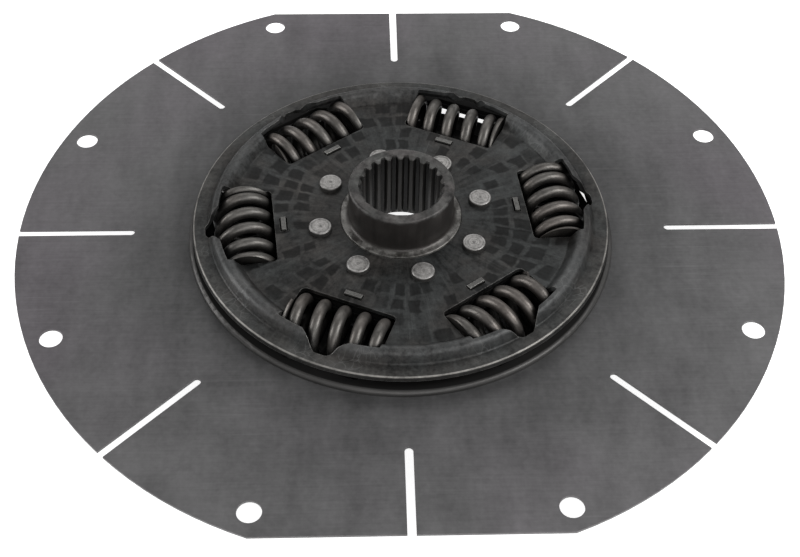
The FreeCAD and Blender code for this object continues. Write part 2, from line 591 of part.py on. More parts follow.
def side_plate(name, windows=True):
    body = new_body(name)
    (upper_pressing if windows else lower_pressing)(body, name)

    # spring window with its pointed notch, and the tab slot inboard of it
    if not windows:
        spring_pockets(body, name)
    sk = new_sketch(body, "XY_Plane", name + "_window", offset="26", angle="window_angle")
    A, N = V["window_arc"], V["window_notch"]
    ho, ns, nh = V["window_half_out"], V["notch_start"], V["notch_half"]
    def on(v):
        return Vector(math.sqrt(A * A - v * v), v, 0)
    def ang(v):
        return math.asin(v / A)
    wi, hi = V["window_inner"], V["window_half_in"]
    if windows:
        def line(p, q):
            return sk.addGeometry(Part.LineSegment(p, q), False)
        arc_of = Part.Circle(Vector(0, 0, 0), Vector(0, 0, 1), A)
        e0 = line(Vector(wi, -hi, 0), on(-ho))
        e1 = sk.addGeometry(Part.ArcOfCircle(arc_of, ang(-ho), ang(-ns)), False)
        e2 = line(on(-ns), Vector(N, -nh, 0))
        e3 = line(Vector(N, -nh, 0), Vector(N, nh, 0))
        e4 = line(Vector(N, nh, 0), on(ns))
        e5 = sk.addGeometry(Part.ArcOfCircle(arc_of, ang(ns), ang(ho)), False)
        e6 = line(on(ho), Vector(wi, hi, 0))
        e7 = line(Vector(wi, hi, 0), Vector(wi, -hi, 0))
        for p, q in ((e0, e1), (e1, e2), (e2, e3), (e3, e4), (e4, e5), (e5, e6), (e6, e7), (e7, e0)):
            sk.addConstraint(Sketcher.Constraint("Coincident", p, 2, q, 1))
        for e in (e1, e5):
            sk.addConstraint(Sketcher.Constraint("Coincident", e, 3, -1, 1))
        bind(sk, Sketcher.Constraint("Radius", e1, A), D + "window_arc", "arc_a")
        bind(sk, Sketcher.Constraint("Radius", e5, A), D + "window_arc", "arc_b")
        bind(sk, Sketcher.Constraint("DistanceX", -1, 1, e0, 1, wi), D + "window_inner", "inner_a")
        bind(sk, Sketcher.Constraint("DistanceX", -1, 1, e7, 1, wi), D + "window_inner", "inner_b")
        bind(sk, Sketcher.Constraint("DistanceY", -1, 1, e0, 1, -hi), "-" + D + "window_half_in", "half_a")
        bind(sk, Sketcher.Constraint("DistanceY", -1, 1, e7, 1, hi), D + "window_half_in", "half_b")
        bind(sk, Sketcher.Constraint("DistanceY", -1, 1, e1, 1, -ho), "-" + D + "window_half_out", "out_a")
        bind(sk, Sketcher.Constraint("DistanceY", -1, 1, e6, 1, ho), D + "window_half_out", "out_b")
        bind(sk, Sketcher.Constraint("DistanceY", -1, 1, e2, 1, -ns), "-" + D + "notch_start", "start_a")
        bind(sk, Sketcher.Constraint("DistanceY", -1, 1, e5, 1, ns), D + "notch_start", "start_b")
        bind(sk, Sketcher.Constraint("DistanceX", -1, 1, e3, 1, N), D + "window_notch", "tip_xa")
        bind(sk, Sketcher.Constraint("DistanceX", -1, 1, e4, 1, N), D + "window_notch", "tip_xb")
        bind(sk, Sketcher.Constraint("DistanceY", -1, 1, e3, 1, -nh), "-" + D + "notch_half", "tip_ya")
        bind(sk, Sketcher.Constraint("DistanceY", -1, 1, e4, 1, nh), D + "notch_half", "tip_yb")
    polygon(sk, [("%stab_circle - %stab_slot_wide / 2" % (D, D), "-%stab_slot_long / 2" % D),
                 ("%stab_circle + %stab_slot_wide / 2" % (D, D), "-%stab_slot_long / 2" % D),
                 ("%stab_circle + %stab_slot_wide / 2" % (D, D), "%stab_slot_long / 2" % D),
                 ("%stab_circle - %stab_slot_wide / 2" % (D, D), "%stab_slot_long / 2" % D)], "t")
    cut = pocket(body, sk, "20", name + "_window_cut")
    polar(body, [cut], 6, name + "_window_ring", D + "window_count")

    sk = new_sketch(body, "XY_Plane", name + "_rivet_hole", offset="26", angle="rivet_angle")
    circle(sk, D + "rivet_circle", "0", D + "rivet_hole", "rivet")
    cut = pocket(body, sk, "20", name + "_rivet_cut")
    polar(body, [cut], 8, name + "_rivet_ring", D + "rivet_count")

    if not windows:
        finish(body)
        return body
    w0 = V["window_angle"]
    fillet(body, upright_edge([(wi, hi), (wi, -hi)], 6, w0), D + "window_round", name + "_corner_in")
    fillet(body, upright_edge([(on(ho).x, ho), (on(-ho).x, -ho)], 6, w0), D + "window_round_out", name + "_corner_out")
    fillet(body, upright_edge([(N, nh), (N, -nh)], 6, w0), D + "notch_round", name + "_notch_tip")
    fillet(body, upright_edge([(on(ns).x, ns), (on(-ns).x, -ns)], 6, w0), D + "notch_round_in", name + "_notch_root")
    finish(body)
    return body


side_plate("side_plate_upper")
lower = side_plate("side_plate_lower", windows=False)


def turned_over():
    """Half turn about the diameter at 36 degrees, in the mid plane of the damper."""
    c = Vector(0, 0, V["mid_plane"])
    axis = Vector(math.cos(math.radians(36)), math.sin(math.radians(36)), 0)
    return Placement(Vector(0, 0, 0), Rotation(axis, 180), c)


lower.Placement = turned_over()

# ---------------------------------------------------------------- hub
hub = new_body("hub")
revolve(hub, [
    (D + "spline_minor", D + "hub_bottom + " + D + "lead_in_bottom"),
    (D + "spline_minor + " + D + "lead_in_bottom", D + "hub_bottom"),
    (D + "flange_radius", D + "hub_bottom"),
    (D + "flange_radius", D + "side_top - " + D + "side_thick"),
    (D + "collar_radius", D + "side_top - " + D + "side_thick"),
    (D + "collar_radius", D + "collar_top"),
    (D + "hub_radius", D + "collar_top"),
    (D + "hub_radius", D + "hub_top"),
    (D + "spline_minor + " + D + "lead_in_top", D + "hub_top"),
    (D + "spline_minor", D + "hub_top - " + D + "lead_in_top"),
], "hub_blank")
fillet(hub, ring_edge(V["hub_radius"], V["collar_top"]), D + "hub_fillet", "hub_foot")
fillet(hub, ring_edge(V["hub_radius"], V["hub_top"]), D + "hub_top_round", "hub_top_edge")
fillet(hub, ring_edge(V["collar_radius"], V["collar_top"]), D + "collar_round", "collar_edge")
# one spline tooth space, straight flanks at the pressure angle, cut right through the bore
sk = new_sketch(hub, "XY_Plane", "spline_space", offset=D + "hub_top + 2")
inner = D + "spline_minor - 1.5"
half_in = "%sspline_half + (%sspline_pitch_radius - %sspline_minor + 1.5) * tan(%sspline_flank)" % (D, D, D, D)
half_out = "%sspline_half - (%sspline_major - %sspline_pitch_radius) * tan(%sspline_flank)" % (D, D, D, D)
polygon(sk, [(inner, "-(" + half_in + ")"), (D + "spline_major", "-(" + half_out + ")"),
             (D + "spline_major", half_out), (inner, half_in)], "s")
space = pocket(hub, sk, "60", "spline_cut")
polar(hub, [space], 22, "spline_ring", D + "spline_count")
sk = new_sketch(hub, "XY_Plane", "flange_hole", offset=D + "side_top", angle="rivet_angle")
circle(sk, D + "rivet_circle", "0", D + "rivet_hole", "rivet")
cut = pocket(hub, sk, "40", "flange_hole_cut")
polar(hub, [cut], 8, "flange_hole_ring", D + "rivet_count")
finish(hub)


# ---------------------------------------------------------------- rivets
def rivet(name, circle_r, angle, shank, head, head_high, top, bottom, edge_round):
    """Solid rivet: shank and two flat heads, turned about its own axis."""
    body = new_body(name)
    revolve(body, [("0", "%s - %s" % (bottom, head_high)), (head, "%s - %s" % (bottom, head_high)),
                   (head, bottom), (shank, bottom), (shank, top), (head, top),
                   (head, "%s + %s" % (top, head_high)), ("0", "%s + %s" % (top, head_high))], name + "_turned")
    hr, t, b, hh = evaluate(head), evaluate(top), evaluate(bottom), evaluate(head_high)
    fillet(body, lambda e: ring_edge(hr, t + hh)(e) or ring_edge(hr, b - hh)(e), edge_round, name + "_edge")
    a = math.radians(angle)
    r = evaluate(circle_r)
    body.Placement = Placement(Vector(r * math.cos(a), r * math.sin(a), 0), Rotation())
    finish(body)
    return body


side_bottom = "2 * " + D + "mid_plane - " + D + "side_top"
for k in range(int(V["rivet_count"])):
    rivet("hub_rivet_%d" % (k + 1), D + "rivet_circle", V["rivet_angle"] + 45.0 * k, D + "rivet_shank",
          D + "rivet_head", D + "rivet_head_high", D + "side_top", side_bottom, D + "rivet_head_round")
n = 0
for k in range(6):
    for s in (-1, 1):
        n += 1
        rivet("disc_rivet_%02d" % n, D + "disc_rivet_circle",
              V["window_angle"] + 30 + 60.0 * k + s * V["disc_rivet_offset"], D + "disc_rivet_shank",
              D + "disc_rivet_head", D + "disc_rivet_head_high", D + "disc_thick",
              "-" + D + "plate_thick - " + D + "disc_thick", D + "rivet_head_round")


# ---------------------------------------------------------------- coil springs
# Closed and ground coils. For each spring: turns from the wire's first end to the first
# crest, how far along the axis each crest lies, and turns from the last crest to the end.
WINDINGS = [
    (0.22, [-29.7, -20.1, -7.6, 5.6, 18.5, 27.2], 0.58),
    (0.29, [-29.2, -21.3, -8.9, 4.2, 16.8, 28.3], 0.38),
    (0.40, [-28.4, -14.5, -1.9, 10.9, 23.1], 0.98),
    (0.19, [-29.9, -22.3, -9.6, 3.2, 16.3, 27.9], 0.46),
    (0.02, [-31.2, -23.7, -11.2, 1.3, 13.8, 25.7], 0.80),
    (0.62, [-26.9, -14.4, -1.8, 10.9, 24.4], 0.90),
]


def rise(knots, x):
    """Smooth rising curve through the knots, without overshoot."""
    n = len(knots)
    d = [(knots[i + 1][1] - knots[i][1]) / (knots[i + 1][0] - knots[i][0]) for i in range(n - 1)]
    m = [d[0]] + [2 * d[i - 1] * d[i] / (d[i - 1] + d[i]) for i in range(1, n - 1)] + [d[-1]]
    i = 0
    while i < n - 2 and x > knots[i + 1][0]:
        i += 1
    (x0, y0), (x1, y1) = knots[i], knots[i + 1]
    w = x1 - x0
    q = (x - x0) / w
    return ((2 * q ** 3 - 3 * q ** 2 + 1) * y0 + (q ** 3 - 2 * q ** 2 + q) * w * m[i]
            + (3 * q ** 2 - 2 * q ** 3) * y1 + (q ** 3 - q ** 2) * w * m[i + 1])


def spring_shape(winding):
    """Right-handed coil, axis along Y, ends ground flat, centred on the origin."""
    before, crests, after = winding
    Rc, wr, L, tip = V["coil_radius"], V["wire_radius"], V["spring_long"], V["tip_high"]
    knots = [(-before, -tip)] + [(float(i), c) for i, c in enumerate(crests)]
    knots.append((len(crests) - 1 + after, tip))
    start, turns = -before, len(crests) - 1 + before + after
    total = int(round(turns * 24))
    pts = []
    for i in range(total + 1):
        t = start + turns * i / total
        pts.append(Vector(Rc * math.sin(2 * math.pi * t), rise(knots, t), Rc * math.cos(2 * math.pi * t)))
    for i in range(100):
        t = start + (turns - 1) * i / 99.0
        if rise(knots, t + 1) - rise(knots, t) < 2 * wr + 0.02:
            raise RuntimeError("coils touch at turn %.2f: %.2f" % (t, rise(knots, t + 1) - rise(knots, t)))
    path = Part.BSplineCurve()
    path.interpolate(pts)
    spine = Part.Wire([path.toShape()])
    first = path.value(path.FirstParameter)
    tangent = path.tangent(path.FirstParameter)[0]
    section = Part.Wire([Part.makeCircle(wr, first, tangent)])
    coil = spine.makePipeShell([section], True, True)
    solid = coil.Solids[0] if coil.Solids else Part.Solid(coil.Shells[0])
    if solid.Volume < 0:
        solid.reverse()
    full = math.pi * wr * wr * path.length()
    if abs(solid.Volume - full) > 0.02 * full:
        raise RuntimeError("coil volume %.0f, expected %.0f" % (solid.Volume, full))
    block = Part.makeCylinder(Rc + wr + 0.1, L, Vector(0, -L / 2, 0), Vector(0, 1, 0))
    rims = [e for e in block.Edges if isinstance(e.Curve, Part.Circle)]
    block = block.makeChamfer(V["end_chamfer"], rims)
    ground = solid.common(block)
    if len(ground.Solids) != 1:
        raise RuntimeError("the ground coil came out in %d solids" % len(ground.Solids))
    print("spring: %.2f turns, wire %.0f long, volume %.0f" % (turns, path.length(), ground.Volume))
    return ground.Solids[0]


for k, winding in enumerate(WINDINGS):
    feat = doc.addObject("Part::Feature", "damper_spring_%d" % (k + 1))
    feat.Label = "damper_spring_%d" % (k + 1)
    feat.Shape = spring_shape(winding)
    a = V["window_angle"] + 60.0 * k
    r = V["spring_circle"]
    feat.Placement = Placement(Vector(r * math.cos(math.radians(a)), r * math.sin(math.radians(a)), V["spring_height"]),
                               Rotation(Vector(0, 0, 1), a))
    finish(feat)


# ---------------------------------------------------------------- friction pack
def flat_ring(name, inner_r, outer_r, low, high):
    body = new_body(name)
    revolve(body, [(inner_r, low), (outer_r, low), (outer_r, high), (inner_r, high)], name + "_ring")
    finish(body)
    return body


low0 = D + "disc_thick + " + D + "run_gap"
low1 = low0 + " + " + D + "friction_thick"
low2 = low1 + " + " + D + "ring_thick"
flat_ring("friction_ring_upper", D + "pack_in", D + "pack_out", low0, low1)


def pressure_ring(name):
    """Flat ring with six tabs bent up through the slots of the side plate."""
    body = new_body(name)
    revolve(body, [(D + "pack_in", low1), (D + "pack_out", low1), (D + "pack_out", low2),
                   (D + "pack_in", low2)], name + "_ring")
    sk = new_sketch(body, "XZ_Plane", name + "_tab_profile")
    tab_in = D + "tab_out - " + D + "ring_thick"
    polygon(sk, [(D + "pack_out - 2", low1), (D + "tab_out", low1), (D + "tab_out", D + "tab_top"),
                 (tab_in, D + "tab_top"), (tab_in, low2), (D + "pack_out - 2", low2)], "b")
    tab = pad(body, sk, "2 * " + D + "tab_half", name + "_tab", midplane=True)
    fillet(body, lambda e: isinstance(e.Curve, Part.Line) and abs(abs(e.Curve.Direction.y) - 1) < 1e-6
           and abs(e.Vertexes[0].Point.x - V["tab_out"]) < 0.01
           and abs(e.Vertexes[0].Point.z - evaluate(low1)) < 0.01, D + "tab_bend", name + "_bend")
    polar(body, [tab, body.Tip], 6, name + "_tabs", D + "window_count")
    finish(body)
    return body


upper_ring = pressure_ring("pressure_ring_upper")
upper_ring.Placement = Placement(Vector(0, 0, 0), Rotation(Vector(0, 0, 1), V["window_angle"]))
lower_ring = pressure_ring("pressure_ring_lower")
lower_ring.Placement = turned_over().multiply(Placement(Vector(0, 0, 0), Rotation(Vector(0, 0, 1), V["window_angle"])))

cone = new_body("disc_spring")
ceiling = D + "side_top - " + D + "side_thick"
revolve(cone, [(D + "pack_in", ceiling), (D + "pack_in", ceiling + " - " + D + "cone_thick"),
               (D + "pack_out", low2), (D + "pack_out", low2 + " + " + D + "cone_thick")], "disc_spring_cone")
finish(cone)

mirror = "2 * " + D + "mid_plane - "
flat_ring("friction_ring_lower", D + "pack_in", D + "pack_out", mirror + "(" + low1 + ")", mirror + "(" + low0 + ")")
flat_ring("thrust_washer", D + "pack_in", D + "pack_out", D + "hub_bottom", mirror + "(" + low2 + ")")
flat_ring("guide_bush", D + "bush_in", D + "bush_out", D + "bush_bottom", D + "bush_top")

# ---------------------------------------------------------------- check and write
doc.recompute()
bad = []
for obj in doc.Objects:
    state = [s for s in getattr(obj, "State", []) if s in ("Invalid", "Error")]
    if state:
        bad.append("%s: %s" % (obj.Name, state))
for obj, node in EXPORT:
    shape = obj.Shape
    if shape.isNull() or not shape.isValid() or len(shape.Solids) != 1:
        bad.append("%s: null, invalid or not one solid (%d)" % (node, len(shape.Solids)))
if bad:
    raise RuntimeError("; ".join(bad))
os.makedirs("parts", exist_ok=True)
for obj, node in EXPORT:
    obj.Shape.exportStep("parts/%s.step" % node)
    box = obj.Shape.BoundBox
    print("%-22s vol %10.0f  z %7.2f..%7.2f  x %8.2f..%8.2f" %
          (node, obj.Shape.Volume, box.ZMin, box.ZMax, box.XMin, box.XMax))
print("wrote %d parts" % len(EXPORT))
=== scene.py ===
import math

import bmesh
import bpy
import numpy as np
from mathutils import Matrix, Vector


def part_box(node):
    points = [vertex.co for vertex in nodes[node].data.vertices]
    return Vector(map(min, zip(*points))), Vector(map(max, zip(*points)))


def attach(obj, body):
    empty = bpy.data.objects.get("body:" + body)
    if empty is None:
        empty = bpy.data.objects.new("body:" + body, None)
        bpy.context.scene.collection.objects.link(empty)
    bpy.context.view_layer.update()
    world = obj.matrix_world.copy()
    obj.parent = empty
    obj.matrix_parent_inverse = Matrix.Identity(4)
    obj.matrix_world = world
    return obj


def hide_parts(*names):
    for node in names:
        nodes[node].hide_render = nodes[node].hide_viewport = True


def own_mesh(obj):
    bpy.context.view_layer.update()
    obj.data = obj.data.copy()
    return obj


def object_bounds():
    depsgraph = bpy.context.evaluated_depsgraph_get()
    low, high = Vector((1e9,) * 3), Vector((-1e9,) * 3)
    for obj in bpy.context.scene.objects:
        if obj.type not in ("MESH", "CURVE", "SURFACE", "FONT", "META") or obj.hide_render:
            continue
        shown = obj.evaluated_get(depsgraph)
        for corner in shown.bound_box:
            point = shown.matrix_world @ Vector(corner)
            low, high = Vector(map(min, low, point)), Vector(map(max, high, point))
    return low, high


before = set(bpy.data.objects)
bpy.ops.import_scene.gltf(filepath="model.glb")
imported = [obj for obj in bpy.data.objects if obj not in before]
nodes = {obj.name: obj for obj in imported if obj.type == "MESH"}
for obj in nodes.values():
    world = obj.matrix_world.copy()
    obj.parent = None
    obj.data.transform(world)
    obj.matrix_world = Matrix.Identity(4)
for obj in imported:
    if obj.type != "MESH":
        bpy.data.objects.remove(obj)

scene = bpy.context.scene
cad_lo, cad_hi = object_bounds()
COVER_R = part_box("side_plate_upper")[1].x

scene.view_settings.view_transform = "Standard"
scene.view_settings.look = "None"
scene.view_settings.exposure = 0.0
scene.view_settings.gamma = 1.0

# ------------------------------------------------------------------ camera
R0 = 0.23335
F_PX, ELEV, ROLL = 1387.056, math.radians(47.736), math.radians(-1.09993)
TX, TY, DIST, YAW = 0.00079, -0.17504, 3.5446, math.radians(2.34626)


def make_camera():
    back = Vector((0, -math.cos(ELEV), math.sin(ELEV)))
    where = (Vector((TX, TY, 0)) + back * DIST) * R0
    right = Vector((1, 0, 0))
    up = back.cross(right)
    c, s = math.cos(ROLL), math.sin(ROLL)
    x_axis = right * c - up * s
    y_axis = right * s + up * c
    turn = Matrix.Rotation(-YAW, 3, "Z")
    cols = [turn @ x_axis, turn @ y_axis, turn @ back]
    m = Matrix.Identity(4)
    for i, v in enumerate(cols):
        for j in range(3):
            m[j][i] = v[j]
    m.translation = turn @ where
    data = bpy.data.cameras.new("camera")
    data.sensor_width = 36.0
    data.sensor_fit = "HORIZONTAL"
    data.lens = F_PX / 800.0 * 36.0
    data.clip_start, data.clip_end = 0.05, 50.0
    cam = bpy.data.objects.new("camera", data)
    scene.collection.objects.link(cam)
    cam.matrix_world = m
    scene.camera = cam
    return cam


camera = make_camera()


# ------------------------------------------------------------------ node helpers
class Tree:
    """Short names for building one material's node tree."""

    def __init__(self, name):
        self.mat = bpy.data.materials.new(name)
        self.mat.use_nodes = True
        self.nt = self.mat.node_tree
        self.nt.nodes.clear()
        self.out = self.nt.nodes.new("ShaderNodeOutputMaterial")
        self.bsdf = self.nt.nodes.new("ShaderNodeBsdfPrincipled")
        self.nt.links.new(self.bsdf.outputs[0], self.out.inputs[0])
        self.coord = self.nt.nodes.new("ShaderNodeTexCoord").outputs["Object"]
        self._sep = None

    def put(self, socket, value):
        if isinstance(value, bpy.types.NodeSocket):
            self.nt.links.new(value, socket)
        elif value is not None:
            socket.default_value = value

    def math(self, op, a, b=None, c=None, clamp=False):
        n = self.nt.nodes.new("ShaderNodeMath")
        n.operation = op
        n.use_clamp = clamp
        for i, v in enumerate((a, b, c)):
            if v is not None:
                self.put(n.inputs[i], v)
        return n.outputs[0]

    def add(self, a, b):
        return self.math("ADD", a, b)

    def mul(self, a, b):
        return self.math("MULTIPLY", a, b)

    def xyz(self):
        if self._sep is None:
            n = self.nt.nodes.new("ShaderNodeSeparateXYZ")
            self.nt.links.new(self.coord, n.inputs[0])
            self._sep = n.outputs
        return self._sep[0], self._sep[1], self._sep[2]

    def radius(self):
        x, y, _ = self.xyz()
        return self.math("SQRT", self.add(self.mul(x, x), self.mul(y, y)))

    def angle(self):
        x, y, _ = self.xyz()
        return self.math("ARCTAN2", y, x)

    def vec(self, x, y, z):
        n = self.nt.nodes.new("ShaderNodeCombineXYZ")
        for i, v in enumerate((x, y, z)):
            self.put(n.inputs[i], v)
        return n.outputs[0]

    def scaled(self, factor, turn=0.0, vector=None):
        n = self.nt.nodes.new("ShaderNodeMapping")
        self.nt.links.new(vector or self.coord, n.inputs["Vector"])
        n.inputs["Scale"].default_value = factor
        n.inputs["Rotation"].default_value = (0, 0, turn)
        return n.outputs[0]

    def noise(self, scale, detail=3.0, rough=0.55, vector=None, distortion=0.0, seed=0.0):
        n = self.nt.nodes.new("ShaderNodeTexNoise")
        n.noise_dimensions = "4D" if seed else "3D"
        if seed:
            n.inputs["W"].default_value = seed
        self.nt.links.new(vector or self.coord, n.inputs["Vector"])
        n.inputs["Scale"].default_value = scale
        n.inputs["Detail"].default_value = detail
        n.inputs["Roughness"].default_value = rough
        n.inputs["Distortion"].default_value = distortion
        return n.outputs[0]

    def cells(self, scale, vector=None, metric="EUCLIDEAN", feature="F1", jitter=1.0):
        n = self.nt.nodes.new("ShaderNodeTexVoronoi")
        n.feature = feature
        if feature == "F1":
            n.distance = metric
        self.nt.links.new(vector or self.coord, n.inputs["Vector"])
        n.inputs["Scale"].default_value = scale
        n.inputs["Randomness"].default_value = jitter
        return n.outputs

    def ramp(self, value, low, high, out_low=0.0, out_high=1.0, smooth=True):
        n = self.nt.nodes.new("ShaderNodeMapRange")
        n.interpolation_type = "SMOOTHSTEP" if smooth else "LINEAR"
        self.put(n.inputs["Value"], value)
        n.inputs["From Min"].default_value = low
        n.inputs["From Max"].default_value = high
        n.inputs["To Min"].default_value = out_low
        n.inputs["To Max"].default_value = out_high
        return n.outputs["Result"]

    def band(self, value, centre, half, soft):
        """1 within half of centre, falling to 0 over soft."""
        off = self.math("ABSOLUTE", self.math("SUBTRACT", value, centre))
        return self.ramp(off, half, half + soft, 1.0, 0.0)

    def mix(self, fac, a, b, mode="MIX"):
        n = self.nt.nodes.new("ShaderNodeMix")
        n.data_type = "RGBA"
        n.blend_type = mode
        self.put(n.inputs[0], fac)
        for sock, v in ((n.inputs[6], a), (n.inputs[7], b)):
            if isinstance(v, tuple):
                sock.default_value = (v[0], v[1], v[2], 1.0)
            else:
                self.put(sock, v)
        return n.outputs[2]

    def grey(self, value):
        n = self.nt.nodes.new("ShaderNodeCombineColor")
        for i in range(3):
            self.put(n.inputs[i], value)
        return n.outputs[0]

    def bump(self, height, strength, distance, normal=None):
        n = self.nt.nodes.new("ShaderNodeBump")
        n.inputs["Strength"].default_value = strength
        n.inputs["Distance"].default_value = distance
        self.put(n.inputs["Height"], height)
        if normal is not None:
            self.put(n.inputs["Normal"], normal)
        return n.outputs[0]

    def rounded(self, radius):
        n = self.nt.nodes.new("ShaderNodeBevel")
        n.samples = 6
        n.inputs["Radius"].default_value = radius
        return n.outputs[0]

    def edge(self, radius, low=0.02, high=0.25):
        """0 on faces, 1 on edges sharper than about the radius."""
        soft = self.rounded(radius)
        g = self.nt.nodes.new("ShaderNodeNewGeometry").outputs["Normal"]
        n = self.nt.nodes.new("ShaderNodeVectorMath")
        n.operation = "DOT_PRODUCT"
        self.nt.links.new(soft, n.inputs[0])
        self.nt.links.new(g, n.inputs[1])
        return self.ramp(self.math("SUBTRACT", 1.0, n.outputs["Value"]), low, high)

    def occlusion_shade(self, distance, low=0.25, high=0.8, floor=0.1):
        """Painted shade where other surfaces stand close: floor there, 1 in the open."""
        n = self.nt.nodes.new("ShaderNodeAmbientOcclusion")
        n.samples = 8
        n.inputs["Distance"].default_value = distance
        return self.ramp(n.outputs["AO"], low, high, floor, 1.0)

    def done(self, colour, rough, metallic, normal=None, spec=0.5):
        b = self.bsdf.inputs
        if isinstance(colour, tuple):
            b["Base Color"].default_value = (*colour, 1.0)
        else:
            self.put(b["Base Color"], colour)
        self.put(b["Roughness"], rough)
        self.put(b["Metallic"], metallic)
        b["Specular IOR Level"].default_value = spec
        if normal is not None:
            self.put(b["Normal"], normal)
        return self.mat


def wear(object_, mat):
    object_.data.materials.clear()
    object_.data.materials.append(mat)


# ------------------------------------------------------------------ materials
def sheet_steel(name="sheet_steel"):
    """Thin rolled plate: satin dark grey with faint clouding, handling marks and rolling lines,
    with painted shade making it darker towards the middle, where the hub and cover shade it."""
    t = Tree(name)
    r = t.radius()
    cloud = t.noise(6.0, 4.0, 0.6)
    mottle = t.noise(38.0, 5.0, 0.66, seed=3.1)
    smear = t.noise(1.0, 4.0, 0.6, vector=t.scaled((58.0, 15.0, 1.0), 0.05), seed=2.2)
    grain = t.noise(260.0, 3.0, 0.6, seed=5.6)
    fine = t.noise(900.0, 2.0, 0.5)
    rolled = t.noise(1.0, 3.0, 0.5, vector=t.scaled((26.0, 700.0, 26.0), 0.12))
    scuff_a = t.noise(1.0, 2.0, 0.5, vector=t.scaled((14.0, 520.0, 1.0), 0.9))
    scuff_b = t.noise(1.0, 2.0, 0.5, vector=t.scaled((18.0, 460.0, 1.0), -0.55))
    patch = t.ramp(t.noise(9.0, 2.0, 0.5, seed=7.7), 0.48, 0.66)
    scuffs = t.mul(t.add(t.ramp(scuff_a, 0.6, 0.78), t.ramp(scuff_b, 0.62, 0.8)), patch)
    stain = t.ramp(t.noise(13.0, 3.0, 0.55, seed=11.3), 0.56, 0.72)
    shade = t.add(t.mul(t.add(cloud, -0.5), 0.6), t.mul(t.add(mottle, -0.5), 0.75))
    shade = t.add(shade, t.add(t.mul(t.add(rolled, -0.5), 0.28), t.mul(t.add(smear, -0.5), 0.7)))
    shade = t.add(shade, t.mul(t.add(grain, -0.5), 0.5))
    shade = t.add(shade, t.add(t.mul(scuffs, 0.2), t.mul(stain, -0.16)))
    # painted shade: darker towards the middle, where the hub and cover shade the plate, lighter towards the outer
    # rim
    inner = t.ramp(t.add(r, t.mul(t.add(cloud, -0.5), 0.05)), 0.125, 0.205)
    rim = t.ramp(r, 0.2, 0.232)
    level = t.add(t.add(t.add(0.7, t.mul(inner, 0.27)), t.mul(rim, 0.1)), shade)
    tint = t.ramp(t.noise(7.0, 2.0, 0.5, seed=8.8), 0.38, 0.62)
    outer = t.mix(tint, (0.114, 0.1058, 0.1135), (0.11, 0.1082, 0.11))
    warm = t.mix(inner, (0.094, 0.0935, 0.0945), outer)
    colour = t.mix(1.0, warm, t.grey(level), "MULTIPLY")
    # lighter edges: partly bare burrs, partly painted highlight
    edge = t.edge(0.0005)
    colour = t.mix(t.mul(edge, 0.4), colour, (0.24, 0.235, 0.23))
    rough = t.add(t.add(0.47, t.mul(t.add(mottle, -0.5), 0.3)), t.mul(scuffs, -0.1))
    normal = t.bump(t.add(t.mul(fine, 0.4), rolled), 0.2, 0.00006, t.rounded(0.0004))
    return t.done(colour, rough, 0.45, normal, 0.4)


def drive_steel(name="drive_steel"):
    """The thicker pressed disc behind the cover: turned rounded lip, near-black painted shade further in, below
    the cover rim.
    """
    t = Tree(name)
    r = t.radius()
    cloud = t.noise(16.0, 4.0, 0.6, seed=1.3)
    mottle = t.noise(90.0, 4.0, 0.62, seed=4.3)
    fine = t.noise(700.0, 3.0, 0.5)
    ring = t.noise(1.0, 3.0, 0.55, vector=t.vec(t.mul(r, 1500.0), t.mul(t.angle(), 2.0), 0.0))
    level = t.add(t.add(0.85, t.mul(t.add(cloud, -0.5), 0.5)), t.mul(t.add(ring, -0.5), 1.1))
    level = t.add(level, t.mul(t.add(mottle, -0.5), 0.5))
    colour = t.mix(1.0, (0.085, 0.083, 0.081), t.grey(level), "MULTIPLY")
    # lighter edges: partly bare burrs, partly painted highlight
    colour = t.mix(t.mul(t.edge(0.0005), 0.4), colour, (0.2, 0.195, 0.19))
    # painted shade: near black inside the lip, where the cover rim shades the disc; rougher and less metallic
    # there too
    under_rim_shade = t.ramp(t.add(r, t.mul(t.add(cloud, -0.5), 0.0006)), 0.1266, 0.1274, 1.0, 0.0)
    colour = t.mix(under_rim_shade, colour, (0.0055, 0.0052, 0.005))
    rough = t.add(t.add(0.44, t.mul(t.add(cloud, -0.5), 0.16)), t.mul(under_rim_shade, 0.3))
    metal = t.math("SUBTRACT", 0.55, t.mul(under_rim_shade, 0.55))
    normal = t.bump(t.add(fine, ring), 0.3, 0.00006, t.rounded(0.0004))
    return t.done(colour, rough, metal, normal, 0.2)


